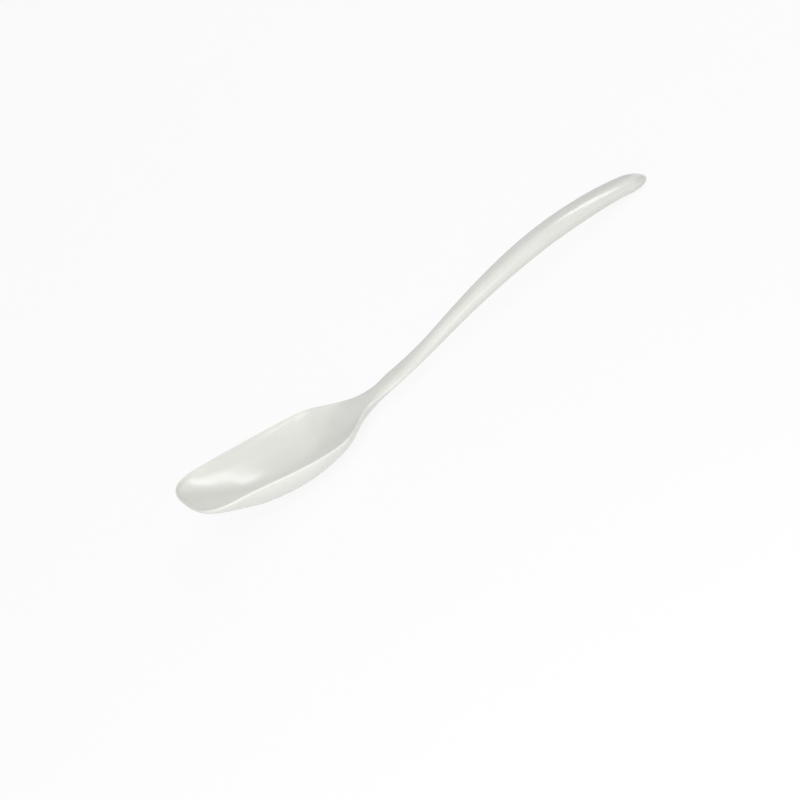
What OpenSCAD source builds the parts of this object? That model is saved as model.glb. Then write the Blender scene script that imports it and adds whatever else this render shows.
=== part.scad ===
// Stirring spoon: one glossy moulding, drawn as bowl, neck and handle that meet face to face.
// It lies on its back, with the keel of the bowl and the end of the handle on z = 0.
// +X runs from the tip of the bowl to the end of the handle. The XZ plane is its plane of symmetry.
// The shape is a loft: sections stand square to a curved centre line at the height of the rim,
// and each section's width, depth and crown come from smooth curves through short tables.

/* [Bowl] */
// Length of the bowl along the centre line, from its tip to the neck
bowl_len = 110; // [90:1:135]
// Widest part of the bowl, over the rim
bowl_w = 64; // [50:1:76]
// Deepest part of the bowl, from the rim down to the keel
bowl_depth = 19.5; // [15:0.5:28]
// Length of the rounded tip, seen from above
tip_len = 21; // [16:0.5:28]
// Length over which the front wall curves down from the tip to the keel
front_len = 37; // [30:1:46]
// Thickness of the wall at the bottom of the bowl
wall = 2.5; // [1.6:0.1:3.4]
// Width of the rim, which is rounded over
rim_w = 2.2; // [1.4:0.1:3.2]
// Height of the rounding on the rim
rim_round = 1.3; // [0.7:0.1:2]

/* [Neck] */
// Length of the neck, where the open bowl turns into the solid handle
neck_len = 45; // [32:1:65]
// Width of the neck at its slimmest
neck_w = 11; // [8:0.5:15]
// Thickness of the neck
neck_t = 6.6; // [5:0.2:9]
// Steepest climb of the neck, in degrees from the plane of the rim
neck_climb = 23; // [14:1:30]

/* [Handle] */
// Length of the handle along the centre line, from the neck to its end
handle_len = 155; // [120:1:200]
// Widest part of the handle
handle_w = 17; // [13:0.2:22]
// Thickness of the handle at its widest part
handle_t = 11.2; // [8:0.2:14]
// Length of the rounded end, seen from above
end_len = 12; // [8:0.5:16]

/* [Hidden] */

// Off-white of the moulding
melamine = [0.91, 0.91, 0.89];

// Each table row is a place, as a share of the length of its own region, and a size.
// Slope of the centre line, as shares of the neck's climb
bowl_slope_shares = [[0, 0.26], [0.25, 0.04], [0.5, 0], [0.75, 0.19], [1, 0.29]];
neck_slope_shares = [[0.45, 0.55], [1, 0.94]];
handle_slope_shares = [[0.2, 0.86], [0.4, 0.67], [0.6, 0.42], [0.8, 0.15], [1, -0.42]];
// Half width, as shares of half the width of the region, before the tip and the end are rounded
bowl_width_shares = [
    [0, 0.9], [0.2, 0.91], [0.4, 0.97], [0.55, 1], [0.68, 0.98], [0.8, 0.85], [0.9, 0.52], [1, 0.27]
];
neck_width_shares = [[0.4, 1.3], [1, 0.98]];
handle_width_shares = [[0.2, 0.7], [0.4, 0.9], [0.6, 0.98], [0.8, 0.99], [1, 0.87]];
// Keel below the centre line, as shares of the bowl's depth and of the two thicknesses,
// before the front wall and the end are rounded
bowl_keel_shares = [
    [0, 0.73], [0.22, 0.86], [0.42, 0.99], [0.6, 0.92], [0.75, 0.71], [0.88, 0.5], [1, 0.34]
];
neck_keel_shares = [[0.5, 0.41], [1, 0.58]];
handle_keel_shares = [[0.3, 0.51], [0.6, 0.56], [0.85, 0.52], [1, 0.41]];
// Crown above the centre line, as shares of the two thicknesses, from the end of the hollow on
neck_crown_shares = [[0, 0.14], [0.45, 0.35], [0.75, 0.42], [1, 0.45]];
handle_crown_shares = [[0.3, 0.33], [0.6, 0.42], [0.85, 0.36], [1, 0.37]];

// The hollow starts to rise at the first share of the bowl's length and ends at the second
hollow_end_shares = [0.7, 0.97];
// The crown has grown to its full height at this share of the neck
crown_full_share = 0.4;
// In the tip and in the end the sections turn like a fan, about feet that move between
// these shares of the tip's length and of the end's length
tip_foot_share = 0.7;
end_foot_share = 0.25;

// Exponents of the superellipses: the tip in plan, the front wall, a dish section across and down,
// and the squarer top of the solid neck and handle, whose shoulders carry on from the rim
tip_power = 2.8;
front_power = 1.7;
across_power = 2.2;
down_power = 1.5;
top_power = 2.6;

// Number of sections in the tip, bowl, neck, handle and end, and of steps along the centre line
tip_steps = 12;
bowl_steps = 36;
neck_steps = 14;
handle_steps = 30;
end_steps = 9;
line_steps = 240;
// Number of steps over the hollow, over the rim and under the keel in half a section
face_steps = 12;
rim_steps = 6;
// Half angle of a solid oval section that the rim's steps turn into
edge_angle = 12;

neck_start = bowl_len;
handle_start = neck_start + neck_len;
end_start = handle_start + handle_len - end_len;
spoon_len = handle_start + handle_len;
hollow_rise = hollow_end_shares[0] * bowl_len;
hollow_end = hollow_end_shares[1] * bowl_len;
crown_full = neck_start + crown_full_share * neck_len;

// Table rows as real places and sizes
function rows(shares, start, length, size) = [
    for (share = shares) [start + share[0] * length, share[1] * size]
];

// Natural cubic spline through points [place, size]: sweep down, then substitute back
function sweep_down(p, i = 1, c = [0], d = [0]) =
    i > len(p) - 2 ? [c, d] :
    let (
        before = p[i] - p[i - 1],
        after = p[i + 1] - p[i],
        pivot = 2 * (before[0] + after[0]) - before[0] * c[i - 1],
        turn = 6 * (after[1] / after[0] - before[1] / before[0])
    )
    sweep_down(p, i + 1, concat(c, [after[0] / pivot]), concat(d, [(turn - before[0] * d[i - 1]) / pivot]));
function substitute(c, d, i, bends) =
    i < 0 ? bends : substitute(c, d, i - 1, concat([d[i] - c[i] * bends[0]], bends));
function fair(p) = let (swept = sweep_down(p)) [p, substitute(swept[0], swept[1], len(p) - 2, [0])];
function span_at(p, s, i = 0) = i < len(p) - 2 && s > p[i + 1][0] ? span_at(p, s, i + 1) : i;
function at(curve, s) =
    let (
        i = span_at(curve[0], s),
        a = curve[0][i],
        b = curve[0][i + 1],
        h = b[0] - a[0],
        t = (s - a[0]) / h,
        u = 1 - t
    )
    u * a[1] + t * b[1] + h * h / 6 * ((u ^ 3 - u) * curve[1][i] + (t ^ 3 - t) * curve[1][i + 1]);

// Smooth step from 0 at a to 1 at b, and a mix of two values
function ease(a, b, s) = let (t = min(max((s - a) / (b - a), 0), 1)) t * t * (3 - 2 * t);
function mix(a, b, share) = a + (b - a) * share;

slope_curve = fair(concat(
    rows(bowl_slope_shares, 0, bowl_len, neck_climb),
    rows(neck_slope_shares, neck_start, neck_len, neck_climb),
    rows(handle_slope_shares, handle_start, handle_len, neck_climb)
));
width_curve = fair(concat(
    rows(bowl_width_shares, 0, bowl_len, bowl_w / 2),
    rows(neck_width_shares, neck_start, neck_len, neck_w / 2),
    rows(handle_width_shares, handle_start, handle_len, handle_w / 2)
));
keel_curve = fair(concat(
    rows(bowl_keel_shares, 0, bowl_len, bowl_depth),
    rows(neck_keel_shares, neck_start, neck_len, neck_t),
    rows(handle_keel_shares, handle_start, handle_len, handle_t)
));
crown_curve = fair(concat(
    rows(neck_crown_shares, hollow_end, handle_start - hollow_end, neck_t),
    rows(handle_crown_shares, handle_start, handle_len, handle_t)
));

// Rounding of the tip in plan, of the front wall in height and of the handle's end in both
function tip_round(s) = (1 - max(1 - s / tip_len, 0) ^ tip_power) ^ (1 / tip_power);
function front_round(s) = (1 - max(1 - s / front_len, 0) ^ front_power) ^ (1 / down_power);
function end_round(s) = sqrt(max(1 - max((s - end_start) / end_len, 0) ^ 2, 0));

// Half width, depth of the keel and height of the crown at a place on the centre line
function half_width(s) = at(width_curve, s) * tip_round(s) * end_round(s);
function keel(s) = at(keel_curve, s);
function crown(s) = at(crown_curve, max(s, hollow_end)) * ease(hollow_end, crown_full, s);

// Share of the hollow that is left, from 1 in the bowl to 0 at the heel
function hollow_left(s) = 1 - ease(hollow_rise, hollow_end, s);

// Height over the centre line at a place and a distance to the side: face and back of the open
// dish, inside its rim, and face and back of the solid oval
function side_share(s, side) = side == 0 ? 0 : min(side / half_width(s), 1);
function dish_bulge(s, side) = (1 - side_share(s, side) ^ across_power) ^ (1 / down_power);
function dish_face(s, side) =
    let (
        bulge = dish_bulge(s, side),
        dip = bulge * front_round(s) * hollow_left(s)
    )
    crown(s) * bulge - rim_round * hollow_left(s) - (keel(s) - wall - rim_round) * dip;
function dish_back(s, side) = -rim_round - (keel(s) - rim_round) * dish_bulge(s, side) * front_round(s);
function oval_bulge(s, side, power) = (1 - side_share(s, side) ^ power) ^ (1 / power) * end_round(s);
function oval_face(s, side) = crown(s) * oval_bulge(s, side, top_power);
function oval_back(s, side) = -keel(s) * oval_bulge(s, side, 2);

// The centre line, added up in short steps of the slope at their middles
line_step = spoon_len / line_steps;
line = [
    for (
        i = 0, x = 0, z = 0;
        i <= line_steps;
        x = x + line_step * cos(at(slope_curve, (i + 0.5) * line_step)),
        z = z + line_step * sin(at(slope_curve, (i + 0.5) * line_step)),
        i = i + 1
    ) [i * line_step, x, z]
];
line_x = [for (p = line) [p[0], p[1]]];
line_z = [for (p = line) [p[0], p[2]]];

// A point at a place along the centre line, a distance to the side and a height square to the line
function point(s, side, up) =
    let (slope = at(slope_curve, s))
    [lookup(s, line_x) - up * sin(slope), side, lookup(s, line_z) + up * cos(slope)];

// Each station is the foot of a section on the centre line, then the place and side of its edge
tip_stations = [
    for (i = [0 : tip_steps - 1])
        let (
            turn = 90 * i / tip_steps,
            s = tip_len * (1 - cos(turn) ^ (2 / tip_power))
        )
        [tip_len * (1 - (1 - tip_foot_share) * cos(turn)), s, half_width(s)]
];
function straight_stations(from, to, steps) = [
    for (i = [0 : steps - 1])
        let (s = mix(from, to, i / steps))
        [s, s, half_width(s)]
];
end_stations = [
    for (i = [0 : end_steps])
        let (
            turn = 90 * i / end_steps,
            s = end_start + end_len * sin(turn)
        )
        [end_start + end_len * end_foot_share * sin(turn), s, half_width(s)]
];
stations = concat(
    tip_stations,
    straight_stations(tip_len, neck_start, bowl_steps),
    straight_stations(neck_start, handle_start, neck_steps),
    straight_stations(handle_start, end_start, handle_steps),
    end_stations
);
neck_ring = tip_steps + bowl_steps;
handle_ring = neck_ring + neck_steps;
last_ring = len(stations) - 1;

// A share of the way from a station's foot to its edge
function along(station, share) = [mix(station[0], station[1], share), share * station[2]];

// Half a section at a station, from the middle of the face over the rim and down to the keel.
// The open dish turns into the solid oval along the neck. Inside the rim the face follows
// the back's form, drawn in by the width of the rim
function half_section(station) =
    let (
        reach = norm([station[1] - station[0], station[2]]),
        solid = ease(neck_start, handle_start, station[0]),
        face_angle = 90 - edge_angle
    )
    concat(
        [
            for (i = [0 : face_steps])
                let (
                    dish = sin(90 * i / face_steps) ^ (2 / across_power),
                    oval = sin(face_angle * i / face_steps),
                    q = along(station, mix(dish, oval, solid)),
                    p = along(station, mix(dish * (1 - rim_w / reach), oval, solid))
                )
                point(p[0], p[1], mix(dish_face(q[0], q[1]), oval_face(q[0], q[1]), solid))
        ],
        [
            for (i = [1 : rim_steps - 1])
                let (
                    turn = 180 * i / rim_steps,
                    oval = sin(face_angle + 2 * edge_angle * i / rim_steps),
                    q = along(station, mix(1, oval, solid)),
                    p = along(station, mix(1 - rim_w / 2 / reach * (1 + cos(turn)), oval, solid)),
                    inside = turn < 90,
                    drop = inside ? rim_round * hollow_left(station[1]) : rim_round,
                    oval_up = inside ? oval_face(q[0], q[1]) : oval_back(q[0], q[1])
                )
                point(p[0], p[1], mix(drop * (sin(turn) - 1), oval_up, solid))
        ],
        [
            for (i = [face_steps : -1 : 0])
                let (
                    dish = sin(90 * i / face_steps) ^ (2 / across_power),
                    oval = sin(face_angle * i / face_steps),
                    p = along(station, mix(dish, oval, solid))
                )
                point(p[0], p[1], mix(dish_back(p[0], p[1]), oval_back(p[0], p[1]), solid))
        ]
    );

halves = [for (station = stations) half_section(station)];
half_count = len(halves[0]) - 1;
ring_count = 2 * half_count;

// The spoon tips about its bowl until the bowl and the handle's end are equally low
function lowest(points, tilt) = min([for (p = points) p[2] * cos(tilt) - p[0] * sin(tilt)]);
bowl_underside = [for (i = [0 : neck_ring]) each halves[i]];
end_underside = [for (i = [handle_ring : last_ring]) each halves[i]];
tilt_limit = 45;
tilt_rounds = 40;
function settle(low, high, rounds) =
    let (tilt = (low + high) / 2)
    rounds == 0 ? tilt :
    lowest(bowl_underside, tilt) < lowest(end_underside, tilt) ?
        settle(tilt, high, rounds - 1) :
        settle(low, tilt, rounds - 1);
tilt = settle(0, tilt_limit, tilt_rounds);
function tipped(p) = [p[0] * cos(tilt) + p[2] * sin(tilt), p[1], p[2] * cos(tilt) - p[0] * sin(tilt)];

tipped_halves = [for (half = halves) [for (p = half) tipped(p)]];
all_x = [for (half = tipped_halves) for (p = half) p[0]];
all_z = [for (half = tipped_halves) for (p = half) p[2]];
origin = [(min(all_x) + max(all_x)) / 2, 0, min(all_z)];

// Whole sections: the half, then its mirror image back to the start
rings = [
    for (half = tipped_halves) concat(
        [for (p = half) p - origin],
        [for (i = [half_count - 1 : -1 : 1]) [half[i][0], -half[i][1], half[i][2]] - origin]
    )
];

// In the first and last section both halves lie on the plane of symmetry and share their points
function corner(ring, i) =
    let (
        j = i % ring_count,
        folded = (ring == 0 || ring == last_ring) && j > half_count
    )
    ring * ring_count + (folded ? ring_count - j : j);

module loft(first, last) {
    skin = [
        for (ring = [first : last - 1], i = [0 : ring_count - 1])
            each [
                [corner(ring, i), corner(ring, i + 1), corner(ring + 1, i + 1)],
                [corner(ring, i), corner(ring + 1, i + 1), corner(ring + 1, i)]
            ]
    ];
    first_face = [[for (i = [ring_count - 1 : -1 : 0]) corner(first, i)]];
    last_face = [[for (i = [0 : ring_count - 1]) corner(last, i)]];
    polyhedron(
        points = [for (ring = rings) each ring],
        faces = concat(
            skin,
            first == 0 ? [] : first_face,
            last == last_ring ? [] : last_face
        )
    );
}

module bowl() {
    color(melamine)
    loft(0, neck_ring);
}

module neck() {
    color(melamine)
    loft(neck_ring, handle_ring);
}

module handle() {
    color(melamine)
    loft(handle_ring, last_ring);
}

bowl();
neck();
handle();
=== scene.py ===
"""Looks of the stirring spoon: one glossy moulding of off-white melamine, in metres.

The bowl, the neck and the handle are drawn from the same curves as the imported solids, with many
more sections, so that reflections run smoothly over them and across the planes where they meet.
The lip is thinner and the neck turns solid sooner than in the solids, as the photo shows them.
"""

import bpy
import numpy as np
from mathutils import Matrix, Vector


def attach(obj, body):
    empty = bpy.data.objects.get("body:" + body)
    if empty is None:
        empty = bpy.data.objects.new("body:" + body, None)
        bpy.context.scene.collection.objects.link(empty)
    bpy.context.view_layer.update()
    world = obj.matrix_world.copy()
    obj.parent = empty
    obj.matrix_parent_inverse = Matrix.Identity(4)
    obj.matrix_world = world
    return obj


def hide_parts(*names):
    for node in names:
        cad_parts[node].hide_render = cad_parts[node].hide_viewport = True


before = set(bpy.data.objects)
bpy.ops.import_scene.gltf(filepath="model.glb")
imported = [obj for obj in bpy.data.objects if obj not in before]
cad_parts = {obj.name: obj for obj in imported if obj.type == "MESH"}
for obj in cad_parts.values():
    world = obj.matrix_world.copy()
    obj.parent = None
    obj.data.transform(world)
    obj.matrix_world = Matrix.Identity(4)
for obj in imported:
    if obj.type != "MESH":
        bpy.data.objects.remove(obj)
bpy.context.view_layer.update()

MM = 0.001

# Sizes of the part's source, in metres, but for RIM_W and RIM_ROUND, which the photo shows smaller
BOWL_LEN, BOWL_W, BOWL_DEPTH = 110 * MM, 64 * MM, 19.5 * MM
TIP_LEN, FRONT_LEN = 21 * MM, 37 * MM
WALL, RIM_W, RIM_ROUND = 2.5 * MM, 1.5 * MM, 0.9 * MM
NECK_LEN, NECK_W, NECK_T = 45 * MM, 11 * MM, 6.6 * MM
NECK_CLIMB = np.radians(23)
HANDLE_LEN, HANDLE_W, HANDLE_T = 155 * MM, 17 * MM, 11.2 * MM
END_LEN = 12 * MM

NECK_START = BOWL_LEN
HANDLE_START = NECK_START + NECK_LEN
END_START = HANDLE_START + HANDLE_LEN - END_LEN
SPOON_LEN = HANDLE_START + HANDLE_LEN
HOLLOW_RISE, HOLLOW_END = 0.7 * BOWL_LEN, 0.97 * BOWL_LEN
CROWN_FULL = NECK_START + 0.5 * NECK_LEN

# Feet of the fan of sections in the tip and in the end, and the superellipses' exponents
TIP_FOOT, END_FOOT = 0.7, 0.25
TIP_POWER, FRONT_POWER, ACROSS_POWER, DOWN_POWER, TOP_POWER = 2.8, 1.7, 2.2, 1.5, 2.6

# How far the rim's steps reach to both sides of the outermost point of the solid oval
EDGE_ANGLE = np.radians(12)

# Height of the lip's round as a share of RIM_ROUND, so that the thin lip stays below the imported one
LIP_CREST = 0.93

# Each table row is a place, as a share of the length of its own region, and a share of a size
BOWL_SLOPES = (0, 0.26), (0.25, 0.04), (0.5, 0), (0.75, 0.19), (1, 0.29)
NECK_SLOPES = (0.45, 0.55), (1, 0.94)
HANDLE_SLOPES = (0.2, 0.86), (0.4, 0.67), (0.6, 0.42), (0.8, 0.15), (1, -0.42)
BOWL_WIDTHS = (
    (0, 0.9), (0.2, 0.91), (0.4, 0.97), (0.55, 1), (0.68, 0.98), (0.8, 0.85), (0.9, 0.52), (1, 0.27),
)
NECK_WIDTHS = (0.4, 1.3), (1, 0.98)
HANDLE_WIDTHS = (0.2, 0.7), (0.4, 0.9), (0.6, 0.98), (0.8, 0.99), (1, 0.87)
BOWL_KEELS = (0, 0.73), (0.22, 0.86), (0.42, 0.99), (0.6, 0.92), (0.75, 0.71), (0.88, 0.5), (1, 0.34)
NECK_KEELS = (0.5, 0.41), (1, 0.58)
HANDLE_KEELS = (0.3, 0.51), (0.6, 0.56), (0.85, 0.52), (1, 0.41)
NECK_CROWNS = (0, 0.3), (0.45, 0.35), (0.75, 0.42), (1, 0.45)
HANDLE_CROWNS = (0.3, 0.33), (0.6, 0.42), (0.85, 0.36), (1, 0.37)

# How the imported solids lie: tipped back until bowl and handle end are level, then moved to the origin
TILT = np.radians(14.2474)
LAID_X, LAID_Z = 152.725 * MM, -32.216 * MM

# Sections in the tip, bowl, neck, handle and end, and steps over the face and over the rim
TIP_STEPS, BOWL_STEPS, NECK_STEPS, HANDLE_STEPS, END_STEPS = 30, 84, 34, 84, 22
FACE_STEPS, RIM_STEPS = 30, 12
LINE_STEPS = 3000


def rows(shares, start, length, size):
    return [(start + place * length, share * size) for place, share in shares]


def fair(points):
    """Natural cubic spline through points (place, size), as a function of the place."""
    x, y = np.array(points).T
    h = np.diff(x)
    system, turn = np.eye(len(x)), np.zeros(len(x))
    for i in range(1, len(h)):
        system[i, i - 1 : i + 2] = h[i - 1], 2 * (h[i - 1] + h[i]), h[i]
        turn[i] = 6 * ((y[i + 1] - y[i]) / h[i] - (y[i] - y[i - 1]) / h[i - 1])
    bends = np.linalg.solve(system, turn)

    def at(s):
        i = np.clip(np.searchsorted(x, s) - 1, 0, len(h) - 1)
        t = (s - x[i]) / h[i]
        u = 1 - t
        bend = (u**3 - u) * bends[i] + (t**3 - t) * bends[i + 1]
        return u * y[i] + t * y[i + 1] + h[i] ** 2 / 6 * bend

    return at


def ease(a, b, s):
    t = np.clip((s - a) / (b - a), 0, 1)
    return t * t * (3 - 2 * t)


def mix(a, b, share):
    return a + (b - a) * share


slope_at = fair(
    rows(BOWL_SLOPES, 0, BOWL_LEN, NECK_CLIMB)
    + rows(NECK_SLOPES, NECK_START, NECK_LEN, NECK_CLIMB)
    + rows(HANDLE_SLOPES, HANDLE_START, HANDLE_LEN, NECK_CLIMB)
)
width_at = fair(
    rows(BOWL_WIDTHS, 0, BOWL_LEN, BOWL_W / 2)
    + rows(NECK_WIDTHS, NECK_START, NECK_LEN, NECK_W / 2)
    + rows(HANDLE_WIDTHS, HANDLE_START, HANDLE_LEN, HANDLE_W / 2)
)
keel_at = fair(
    rows(BOWL_KEELS, 0, BOWL_LEN, BOWL_DEPTH)
    + rows(NECK_KEELS, NECK_START, NECK_LEN, NECK_T)
    + rows(HANDLE_KEELS, HANDLE_START, HANDLE_LEN, HANDLE_T)
)
crown_at = fair(
    rows(NECK_CROWNS, HOLLOW_END, HANDLE_START - HOLLOW_END, NECK_T)
    + rows(HANDLE_CROWNS, HANDLE_START, HANDLE_LEN, HANDLE_T)
)


def rounding(s, length, power, root):
    return np.maximum(1 - np.maximum(1 - s / length, 0) ** power, 0) ** (1 / root)


def end_round(s):
    return np.sqrt(np.maximum(1 - np.maximum((s - END_START) / END_LEN, 0) ** 2, 0))


def half_width(s):
    return width_at(s) * rounding(s, TIP_LEN, TIP_POWER, TIP_POWER) * end_round(s)


def crown(s):
    return crown_at(np.maximum(s, HOLLOW_END)) * ease(HOLLOW_END, CROWN_FULL, s)


def hollow_left(s):
    return 1 - ease(HOLLOW_RISE, HOLLOW_END, s)


def side_share(s, side):
    width = half_width(s)
    return np.where(side > 0, np.minimum(side / np.where(width > 0, width, 1), 1), 0)


def dish_heights(s, side):
    """Heights of the face and of the back of the open dish over the centre line."""
    bulge = (1 - side_share(s, side) ** ACROSS_POWER) ** (1 / DOWN_POWER)
    front = rounding(s, FRONT_LEN, FRONT_POWER, DOWN_POWER)
    left, deep = hollow_left(s), keel_at(s) - RIM_ROUND
    face = crown(s) * bulge - RIM_ROUND * left - (deep - WALL) * bulge * front * left
    return face, -RIM_ROUND - deep * bulge * front


def oval_heights(s, side):
    """Heights of the face and of the back of the solid oval over the centre line."""
    share = side_share(s, side)
    top = (1 - share**TOP_POWER) ** (1 / TOP_POWER)
    return crown(s) * top * end_round(s), -keel_at(s) * np.sqrt(1 - share**2) * end_round(s)


line_step = SPOON_LEN / LINE_STEPS
line_slopes = slope_at((np.arange(LINE_STEPS) + 0.5) * line_step)
line_s = np.arange(LINE_STEPS + 1) * line_step
line_x = np.r_[0, np.cumsum(line_step * np.cos(line_slopes))]
line_z = np.r_[0, np.cumsum(line_step * np.sin(line_slopes))]


def laid_points(s, side, up):
    """Points of the laid spoon from places in the unrolled one, last axis x, y, z."""
    slope = slope_at(s)
    x = np.interp(s, line_s, line_x) - up * np.sin(slope)
    z = np.interp(s, line_s, line_z) + up * np.cos(slope)
    laid_x = x * np.cos(TILT) + z * np.sin(TILT) - LAID_X
    laid_z = z * np.cos(TILT) - x * np.sin(TILT) - LAID_Z
    return np.stack([laid_x, side + 0 * x, laid_z], -1)


def stations():
    """Foot, edge place and edge side of every section, and the rings where pieces meet."""
    turn = np.pi / 2 * np.arange(TIP_STEPS) / TIP_STEPS
    tip_foot = TIP_LEN * (1 - (1 - TIP_FOOT) * np.cos(turn))
    tip_edge = TIP_LEN * (1 - np.cos(turn) ** (2 / TIP_POWER))
    straight = np.concatenate(
        [
            np.linspace(TIP_LEN, NECK_START, BOWL_STEPS, endpoint=False),
            np.linspace(NECK_START, HANDLE_START, NECK_STEPS, endpoint=False),
            np.linspace(HANDLE_START, END_START, HANDLE_STEPS, endpoint=False),
        ]
    )
    turn = np.pi / 2 * np.arange(END_STEPS + 1) / END_STEPS
    end_foot = END_START + END_LEN * END_FOOT * np.sin(turn)
    end_edge = END_START + END_LEN * np.sin(turn)
    foot = np.r_[tip_foot, straight, end_foot]
    edge = np.r_[tip_edge, straight, end_edge]
    return foot, edge, half_width(edge), (TIP_STEPS + BOWL_STEPS, TIP_STEPS + BOWL_STEPS + NECK_STEPS)


def half_sections(foot, edge, side):
    """Half of every section, from the middle of the face over the rim and down to the keel."""
    foot, edge, side = foot[:, None], edge[:, None], side[:, None]
    reach = np.hypot(edge - foot, side)
    solid = ease(HOLLOW_END, CROWN_FULL, foot)
    face_angle = np.pi / 2 - EDGE_ANGLE

    def along(share):
        return mix(foot, edge, share), share * side

    steps = np.linspace(0, 1, FACE_STEPS + 1)[None]
    dish, oval = np.sin(np.pi / 2 * steps) ** (2 / ACROSS_POWER), np.sin(face_angle * steps)
    spread = along(mix(dish, oval, solid))
    face = laid_points(
        *along(mix(dish * (1 - RIM_W / reach), oval, solid)),
        mix(dish_heights(*spread)[0], oval_heights(*spread)[0], solid),
    )
    back = laid_points(*spread, mix(dish_heights(*spread)[1], oval_heights(*spread)[1], solid))

    steps = np.linspace(0, 1, RIM_STEPS + 1)[None, 1:-1]
    turn = np.pi * steps
    inside = turn < np.pi / 2
    oval = np.sin(face_angle + 2 * EDGE_ANGLE * steps)
    spread = along(mix(1, oval, solid))
    drop = RIM_ROUND * np.where(inside, hollow_left(edge), 1)
    oval_up = np.where(inside, *oval_heights(*spread))
    rim = laid_points(
        *along(mix(1 - RIM_W / 2 / reach * (1 + np.cos(turn)), oval, solid)),
        mix(drop * (LIP_CREST * np.sin(turn) - 1), oval_up, solid),
    )
    return np.concatenate([face, rim, back[:, ::-1]], 1)


def parting_points(foot, edge, side):
    """The line where the two halves of the mould met, on the outermost edge of every section."""
    solid = ease(HOLLOW_END, CROWN_FULL, foot)
    return laid_points(edge, side, mix(-RIM_ROUND, 0, solid))


foot, edge, side, (neck_ring, handle_ring) = stations()
halves = half_sections(foot, edge, side)
rings, half_count = len(halves), halves.shape[1] - 1
ring_count = 2 * half_count
mirrored = halves[:, half_count - 1 : 0 : -1] * (1, -1, 1)
points = np.concatenate([halves, mirrored], 1).reshape(-1, 3)

# In the first and last section both halves lie on the plane of symmetry and share their points
corner = np.arange(rings * ring_count).reshape(rings, ring_count)
for ring in (0, rings - 1):
    corner[ring, half_count + 1 :] = corner[ring, half_count - 1 : 0 : -1]
round_again = np.c_[corner, corner[:, :1]]
quads = np.stack(
    [round_again[:-1, :-1], round_again[:-1, 1:], round_again[1:, 1:], round_again[1:, :-1]], -1
)


def smooth_normals():
    """Normal at every point of the whole spoon, so that the pieces shade as one surface."""
    a, b, c, d = (points[quads[..., i].ravel()] for i in range(4))
    faces = np.cross(c - a, d - b)
    total = np.zeros_like(points)
    for i in range(4):
        np.add.at(total, quads[..., i].ravel(), faces)
    return total / np.maximum(np.linalg.norm(total, axis=1), 1e-12)[:, None]


normals = smooth_normals()
parting = parting_points(foot, edge, side)
parting_gap = np.linalg.norm(
    np.abs(points.reshape(rings, ring_count, 3)) * (0, 1, 0)
    + points.reshape(rings, ring_count, 3) * (1, 0, 1)
    - parting[:, None],
    axis=2,
).ravel()


def skin(name, first, last, node):
    """One closed piece from ring first to ring last, with flat faces where it meets the next one."""
    faces = [list(face) for face in quads[first:last].reshape(-1, 4)]
    shading = [normals[face] for face in faces]
    for ring, end in ((first, 0), (last, rings - 1)):
        if ring != end:
            cap = list(corner[ring][::-1]) if ring == first else list(corner[ring])
            spread = points[cap] - points[cap].mean(0)
            flat = np.cross(spread, np.roll(spread, -1, 0)).sum(0)
            faces.append(cap)
            shading.append(np.tile(flat / np.linalg.norm(flat), (len(cap), 1)))
    used = np.unique(np.concatenate(faces))
    place = {old: new for new, old in enumerate(used)}
    mesh = bpy.data.meshes.new(name)
    mesh.from_pydata(points[used].tolist(), [], [[place[i] for i in face] for face in faces])
    mesh.polygons.foreach_set("use_smooth", [True] * len(faces))
    mesh.normals_split_custom_set(np.concatenate(shading).tolist())
    gap = mesh.attributes.new("parting_gap", "FLOAT", "POINT")
    gap.data.foreach_set("value", parting_gap[used])
    piece = bpy.data.objects.new(name, mesh)
    bpy.context.scene.collection.objects.link(piece)
    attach(piece, "root")
    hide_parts(node)
    return piece


pieces = [
    skin("bowl_skin", 0, neck_ring, "bowl"),
    skin("neck_skin", neck_ring, handle_ring, "neck"),
    skin("handle_skin", handle_ring, rings - 1, "handle"),
]


# Linear colours of the melamine, its specks, its worn edge and the line of the mould
OFF_WHITE, OFF_WHITE_PALER = (0.778, 0.788, 0.738), (0.802, 0.81, 0.765)
SPECK_COLOUR, WORN_COLOUR, SEAM_COLOUR = (0.7, 0.695, 0.64), (0.785, 0.78, 0.72), (0.825, 0.828, 0.785)

# Places along the spoon between which each kind of wear fades in or out
FRONT_WORN, STIRRED, GRIPPED = (-0.146, -0.132), (-0.115, -0.07), (0.05, 0.11)

# Roughness of clean and of smudged melamine, and what every kind of wear adds to it
CLEAN_ROUGH, SMUDGED_ROUGH = 0.15, 0.2
SEAM_ROUGH, SCRATCH_ROUGH, FRONT_ROUGH, GRIP_ROUGH, STIRRED_ROUGH = 0.1, 0.03, 0.14, 0.03, 0.06

# Heights of the surface's ripples, of its slow waves, of a scratch and of the mould's line
RIPPLE, WAVE, SCRATCH_DEPTH, SEAM_HEIGHT = 0.005 * MM, 0.02 * MM, -0.0005 * MM, 0.004 * MM


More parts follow.
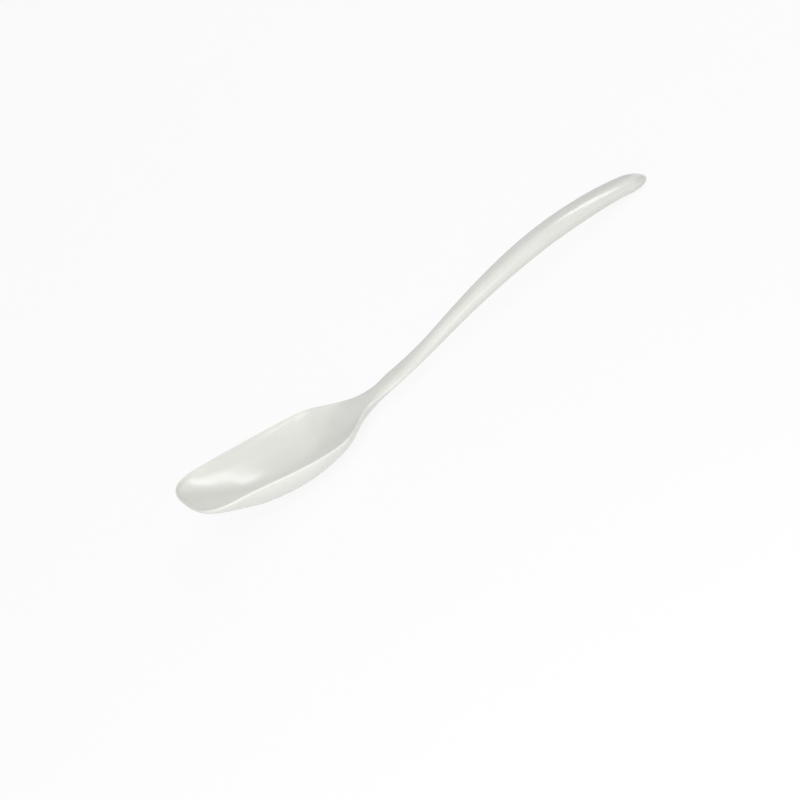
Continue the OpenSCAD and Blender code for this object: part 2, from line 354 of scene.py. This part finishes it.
def melamine():
    """Off-white melamine from a polished mould: glossy, faintly mottled, a little used."""
    made = bpy.data.materials.new("melamine_gloss")
    made.use_nodes = True
    nodes, links = made.node_tree.nodes, made.node_tree.links
    shader = nodes["Principled BSDF"]
    shader.inputs["IOR"].default_value = 1.6
    place = nodes.new("ShaderNodeTexCoord").outputs["Object"]

    def noise(per_metre, detail=2.0, stretch=None, turn=(0, 0, 0)):
        spot = place
        if stretch:
            mapping = nodes.new("ShaderNodeMapping")
            mapping.inputs["Scale"].default_value = stretch
            mapping.inputs["Rotation"].default_value = turn
            links.new(place, mapping.inputs["Vector"])
            spot = mapping.outputs["Vector"]
        made_noise = nodes.new("ShaderNodeTexNoise")
        made_noise.inputs["Scale"].default_value = per_metre
        made_noise.inputs["Detail"].default_value = detail
        links.new(spot, made_noise.inputs["Vector"])
        return made_noise.outputs["Fac"]

    def remap(value, low, high, to_low, to_high):
        node = nodes.new("ShaderNodeMapRange")
        node.interpolation_type = "SMOOTHSTEP"
        limits = {"From Min": low, "From Max": high, "To Min": to_low, "To Max": to_high}
        for name, number in limits.items():
            node.inputs[name].default_value = number
        links.new(value, node.inputs["Value"])
        return node.outputs["Result"]

    def combine(kind, first, second):
        node = nodes.new("ShaderNodeMath")
        node.operation = kind
        for socket, value in zip(node.inputs, (first, second)):
            if isinstance(value, (int, float)):
                socket.default_value = value
            else:
                links.new(value, socket)
        return node.outputs["Value"]

    def blend(share, first, second):
        node = nodes.new("ShaderNodeMix")
        node.data_type = "RGBA"
        links.new(share, node.inputs["Factor"])
        for socket, colour in zip((node.inputs[6], node.inputs[7]), (first, second)):
            if isinstance(colour, tuple):
                socket.default_value = (*colour, 1)
            else:
                links.new(colour, socket)
        return node.outputs[2]

    # The line of the mould's two halves: trimmed by hand, so it is a little duller and less even
    gap = nodes.new("ShaderNodeAttribute")
    gap.attribute_name = "parting_gap"
    ragged = combine("ADD", gap.outputs["Fac"], remap(noise(700), 0.3, 0.7, -0.05 * MM, 0.05 * MM))
    seam = remap(ragged, 0.25 * MM, 0.75 * MM, 1, 0)

    # Handling dulls the grip, stirring the bowl, and scraping over pans the bowl's front edge
    split = nodes.new("ShaderNodeSeparateXYZ")
    links.new(place, split.inputs["Vector"])
    near_lip = remap(gap.outputs["Fac"], 1.5 * MM, 5 * MM, 1, 0)
    front_edge = combine("MULTIPLY", remap(split.outputs["X"], *FRONT_WORN, 1, 0), near_lip)
    grip = remap(split.outputs["X"], *GRIPPED, 0, 1)
    stirred = remap(split.outputs["X"], *STIRRED, 1, 0)

    scratches = combine(
        "MAXIMUM",
        remap(noise(420, 1.0, (0.16, 2.2, 2.2), (0, 0, 0.5)), 0.68, 0.76, 0, 1),
        remap(noise(380, 1.0, (0.14, 2.4, 2.4), (0.2, 0.1, -0.7)), 0.69, 0.77, 0, 1),
    )
    smudges = remap(noise(48, 3.0), 0.42, 0.68, 0, 1)

    mottled = blend(remap(noise(42, 3.0), 0.3, 0.7, 0, 1), OFF_WHITE, OFF_WHITE_PALER)
    specks = remap(noise(1500, 1.0), 0.7, 0.78, 0, 0.35)
    speckled = blend(specks, mottled, SPECK_COLOUR)
    worn = blend(combine("MULTIPLY", front_edge, 0.5), speckled, WORN_COLOUR)
    trimmed = blend(combine("MULTIPLY", seam, 0.5), worn, SEAM_COLOUR)
    links.new(trimmed, shader.inputs["Base Color"])

    def add_all(total, shares):
        for mask, most in shares:
            total = combine("ADD", total, combine("MULTIPLY", mask, most))
        return total

    wear = (
        (seam, SEAM_ROUGH), (scratches, SCRATCH_ROUGH), (front_edge, FRONT_ROUGH), (grip, GRIP_ROUGH),
        (stirred, STIRRED_ROUGH),
    )
    rough = add_all(remap(smudges, 0, 1, CLEAN_ROUGH, SMUDGED_ROUGH), wear)
    links.new(rough, shader.inputs["Roughness"])

    relief = (noise(95, 1.0), WAVE), (scratches, SCRATCH_DEPTH), (seam, SEAM_HEIGHT)
    height = add_all(combine("MULTIPLY", noise(330), RIPPLE), relief)
    bump = nodes.new("ShaderNodeBump")
    bump.inputs["Strength"].default_value = 1
    bump.inputs["Distance"].default_value = 1
    links.new(height, bump.inputs["Height"])
    links.new(bump.outputs["Normal"], shader.inputs["Normal"])
    return made


gloss = melamine()
for piece in pieces:
    piece.data.materials.append(gloss)


# The stage: floor, world, lamps and camera
FLOOR_DROP, FLOOR_SIDE = 0.03 * MM, 16
FLOOR_WHITE, FLOOR_GLOW = (0.85, 0.85, 0.85, 1), 0.9
LAMP_REACH = 1.5
OVER_BOWL = (-0.12, 0, 0.01)

# The photo's viewpoint, found by fitting the spoon's outline and its rim
FILM_WIDTH, FOCAL_LENGTH = 36, 109.47
EYE = (-0.274502, -1.11079, 0.590118)
LOOK, UP = (0.191228, 0.865512, -0.462948), (0.639589, 0.247895, 0.72765)


def seen_or_reflected(tree):
    """1 for camera, glossy and transmission rays, 0 for the rays that carry light to the object."""
    path = tree.nodes.new("ShaderNodeLightPath")
    total = path.outputs["Is Camera Ray"]
    for name in ("Is Glossy Ray", "Is Transmission Ray"):
        node = tree.nodes.new("ShaderNodeMath")
        node.operation = "MAXIMUM"
        tree.links.new(total, node.inputs[0])
        tree.links.new(path.outputs[name], node.inputs[1])
        total = node.outputs["Value"]
    return total


def flat_mesh(name, width, height, up=0):
    """Level rectangle around the origin, at the height up."""
    mesh = bpy.data.meshes.new(name)
    signs = (-1, -1), (1, -1), (1, 1), (-1, 1)
    corners = [(x * width / 2, y * height / 2, up) for x, y in signs]
    mesh.from_pydata(corners, [], [(0, 1, 2, 3)])
    return mesh


def pale_floor():
    """A wide pale table that shows as nearly white and still takes the spoon's shadow."""
    mesh = flat_mesh("floor", FLOOR_SIDE, FLOOR_SIDE, -FLOOR_DROP)
    made = bpy.data.materials.new("floor")
    made.use_nodes = True
    made.cycles.emission_sampling = "NONE"
    tree = made.node_tree
    matt = tree.nodes["Principled BSDF"]
    matt.inputs["Base Color"].default_value = FLOOR_WHITE
    matt.inputs["Roughness"].default_value = 1
    matt.inputs["Specular IOR Level"].default_value = 0
    white = tree.nodes.new("ShaderNodeEmission")
    shown = tree.nodes.new("ShaderNodeMixShader")
    share = tree.nodes.new("ShaderNodeMath")
    share.operation = "MULTIPLY"
    share.inputs[1].default_value = FLOOR_GLOW
    tree.links.new(seen_or_reflected(tree), share.inputs[0])
    tree.links.new(share.outputs["Value"], shown.inputs["Fac"])
    tree.links.new(matt.outputs["BSDF"], shown.inputs[1])
    tree.links.new(white.outputs["Emission"], shown.inputs[2])
    tree.links.new(shown.outputs["Shader"], tree.nodes["Material Output"].inputs["Surface"])
    mesh.materials.append(made)
    floor = bpy.data.objects.new("floor", mesh)
    bpy.context.scene.collection.objects.link(floor)


def studio_world(ambient):
    """Even world that lights the spoon with the strength ambient and is seen and mirrored as white."""
    world = bpy.data.worlds.new("studio")
    bpy.context.scene.world = world
    world.use_nodes = True
    tree = world.node_tree
    background = tree.nodes["Background"]
    background.inputs["Color"].default_value = (1, 1, 1, 1)
    strength = tree.nodes.new("ShaderNodeMix")
    strength.inputs["A"].default_value, strength.inputs["B"].default_value = ambient, 1
    tree.links.new(seen_or_reflected(tree), strength.inputs["Factor"])
    tree.links.new(strength.outputs["Result"], background.inputs["Strength"])


def towards(azimuth, elevation):
    """Direction from the spoon; azimuth 0 is the camera's side, 90 is past the handle's end."""
    turn, rise = np.radians(azimuth), np.radians(elevation)
    return Vector((np.sin(turn) * np.cos(rise), -np.cos(turn) * np.cos(rise), np.sin(rise)))


def put_up(thing, azimuth, elevation, reach, about=(0, 0, 0)):
    """Sets a lamp or a card at the distance reach, facing the point about, unseen by the camera."""
    aim = towards(azimuth, elevation)
    thing.location = Vector(about) + reach * aim
    thing.rotation_mode = "QUATERNION"
    thing.rotation_quaternion = aim.to_track_quat("Z", "Y")
    thing.visible_camera = False
    bpy.context.scene.collection.objects.link(thing)


def softbox(name, azimuth, elevation, reach, width, height, radiance, about=(0, 0, 0)):
    """Rectangular lamp of even radiance."""
    data = bpy.data.lights.new(name, "AREA")
    data.shape, data.size, data.size_y = "RECTANGLE", width, height
    data.energy = np.pi * width * height * radiance
    put_up(bpy.data.objects.new(name, data), azimuth, elevation, reach, about)


def flag(name, azimuth, elevation, width, height, shade):
    """Grey card that a studio sets beside a glossy thing."""
    mesh = flat_mesh(name, width, height)
    made = bpy.data.materials.new(name)
    made.use_nodes = True
    card = made.node_tree.nodes["Principled BSDF"]
    card.inputs["Base Color"].default_value = (shade, shade, shade, 1)
    card.inputs["Roughness"].default_value = 1
    mesh.materials.append(made)
    board = bpy.data.objects.new(name, mesh)
    put_up(board, azimuth, elevation, LAMP_REACH)


pale_floor()
studio_world(0.53)

# Azimuth, elevation, reach, width, height, radiance and the point that the lamp faces
softbox("key", -25, 45, 0.8, 0.48, 0.48, 2.1, OVER_BOWL)
softbox("front_fill", -8, 14, 0.6, 0.7, 0.28, 2, OVER_BOWL)
softbox("long_strip", 101, 52, LAMP_REACH, 1.3, 0.26, 4.4)

# Azimuth, elevation, width, height and shade of grey
flag("flag_back", 168, 22, 1.6, 1.1, 0.75)
flag("flag_end", 82, 13, 1.6, 0.7, 0.03)


def camera():
    data = bpy.data.cameras.new("camera")
    data.sensor_width, data.lens = FILM_WIDTH, FOCAL_LENGTH
    look, up = Vector(LOOK), Vector(UP)
    turned = Matrix((look.cross(up), up, -look)).transposed().to_4x4()
    made = bpy.data.objects.new("camera", data)
    made.matrix_world = Matrix.Translation(EYE) @ turned
    bpy.context.scene.collection.objects.link(made)
    bpy.context.scene.camera = made


camera()

bpy.context.scene.view_settings.view_transform = "Standard"
